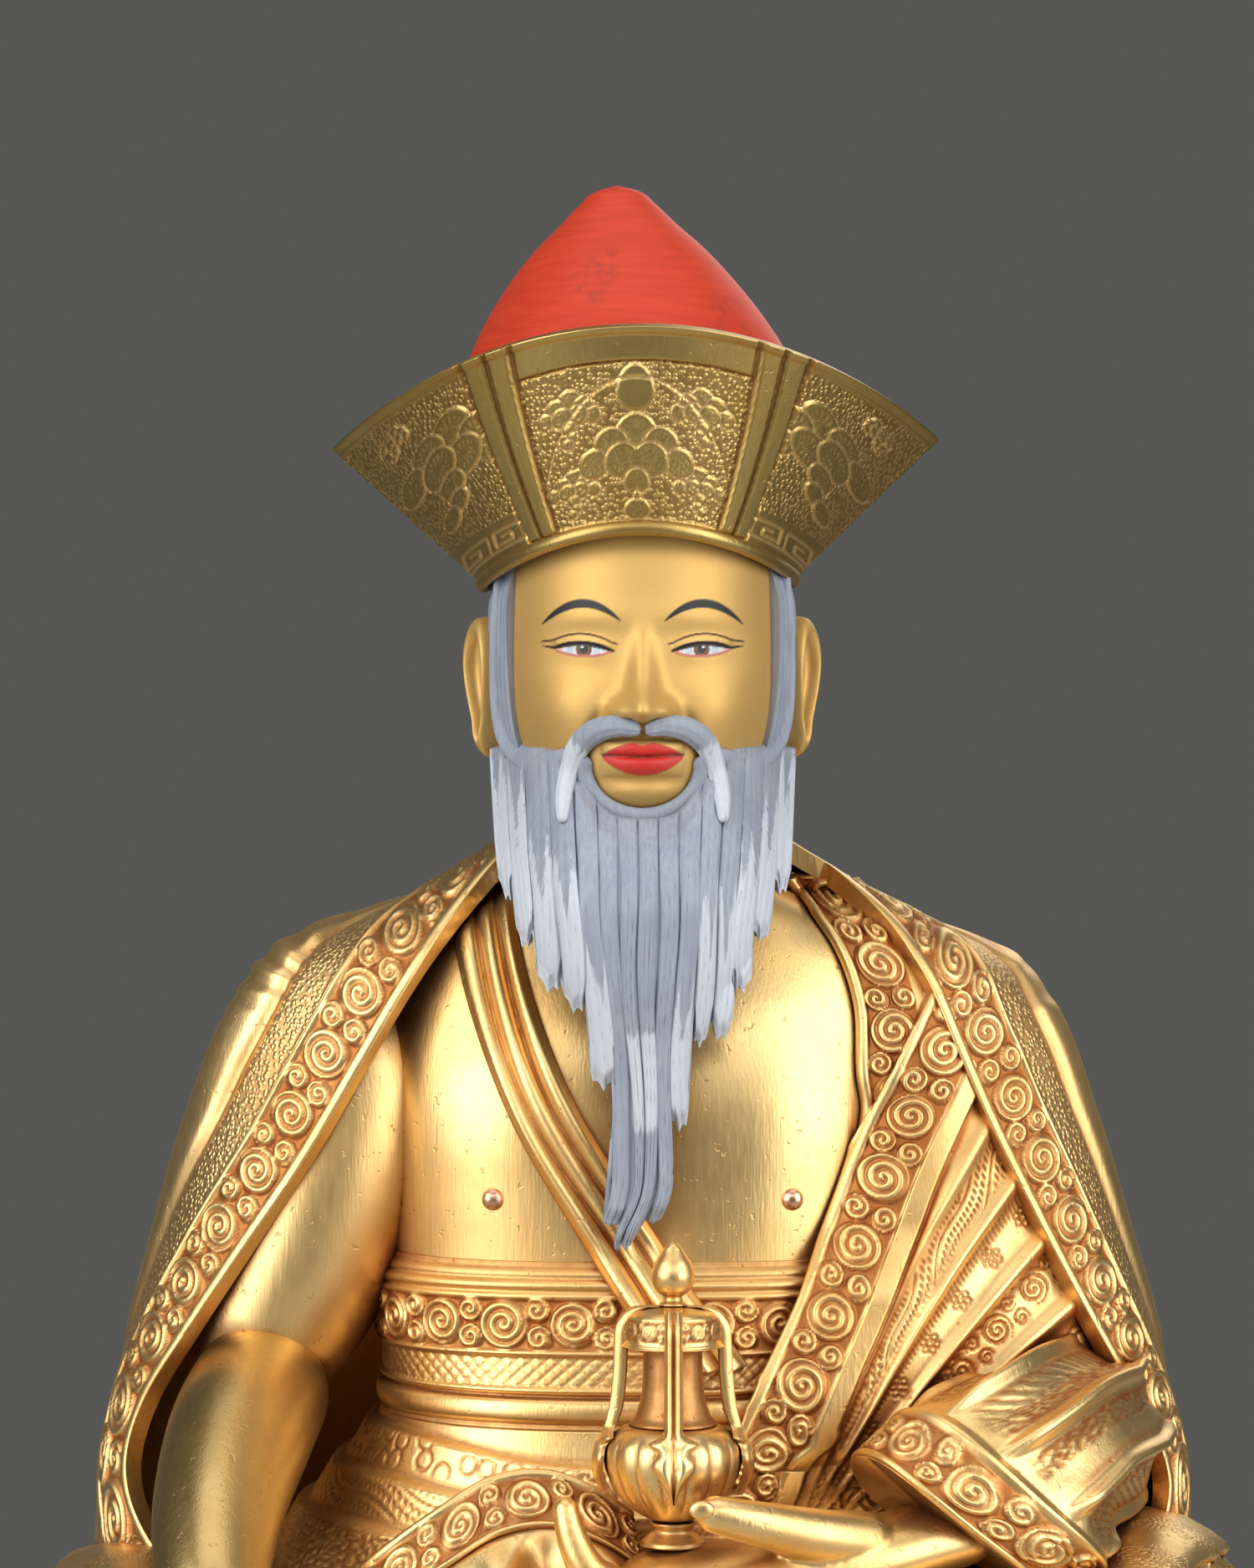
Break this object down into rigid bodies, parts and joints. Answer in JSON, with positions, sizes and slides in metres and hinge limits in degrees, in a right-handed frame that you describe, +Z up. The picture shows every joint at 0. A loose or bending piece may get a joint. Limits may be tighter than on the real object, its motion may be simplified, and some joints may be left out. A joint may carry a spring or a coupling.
{
  "type": "seated figure statue",
  "caption": "Gilded hollow-cast seated figure with a painted hat and long beard, in an open cloak, holding a lidded vase, on an oval lotus base.",
  "frame": {"origin": "centre of the base's underside", "axes": "+Z up, the figure faces -Y, +X is towards the figure's left hand"},
  "size_m": [0.244, 0.168, 0.347],
  "materials": {
    "gilding": "fire-gilded copper, burnished, with copper-red patina in the recesses",
    "old_gilding": "darker antique gilding, chased",
    "satin_gilding": "matte cold gold over metal",
    "bare_copper": "polished copper",
    "red_paint": "red mineral paint, brushed on, worn dark in places",
    "beard_paint": "grey-blue paint with white brush strokes",
    "sheet_copper": "thin copper sheet, dull"
  },
  "bodies": {
    "root": {"base_foot": "gilding", "lower_petals": "gilding", "base_waist": "gilding", "upper_petals": "gilding", "seat_plate": "gilding", "sealing_plate": "sheet_copper", "lap": "gilding", "torso": "gilding", "chest_stud_right": "bare_copper", "chest_stud_left": "bare_copper", "waist_band": "gilding", "waist_belt": "gilding", "skirt": "gilding", "right_upper_arm": "gilding", "right_forearm": "gilding", "right_hand": "gilding", "left_sleeve": "gilding", "left_hand": "gilding", "chest_sash": "gilding", "inner_robe": "gilding", "robe_hem": "gilding", "cloak": "gilding", "beard": "beard_paint", "moustache_right": "beard_paint", "moustache_left": "beard_paint", "head": "satin_gilding", "neck_rivet_right": "bare_copper", "neck_rivet_left": "bare_copper"},
    "hat": {"hat_crown": "red_paint", "hat_brim_front": "old_gilding", "hat_brim_back": "old_gilding", "hat_band": "old_gilding"},
    "vase": {"vase_foot": "gilding", "vase_peg": "bare_copper", "vase_body": "gilding", "vase_neck": "gilding", "vase_lid": "gilding", "vase_finial": "gilding", "vase_strap_front": "gilding", "vase_strap_left": "gilding", "vase_strap_back": "gilding", "vase_strap_right": "gilding"}
  },
  "joints": [
    {"name": "hat_lift", "type": "slide", "parent": "root", "child": "hat", "axis": [0, 0, 1], "range_m": [0, 0.07]},
    {"name": "vase_lift", "type": "slide", "parent": "root", "child": "vase", "axis": [0, 0, 1], "range_m": [0, 0.03]}
  ]
}
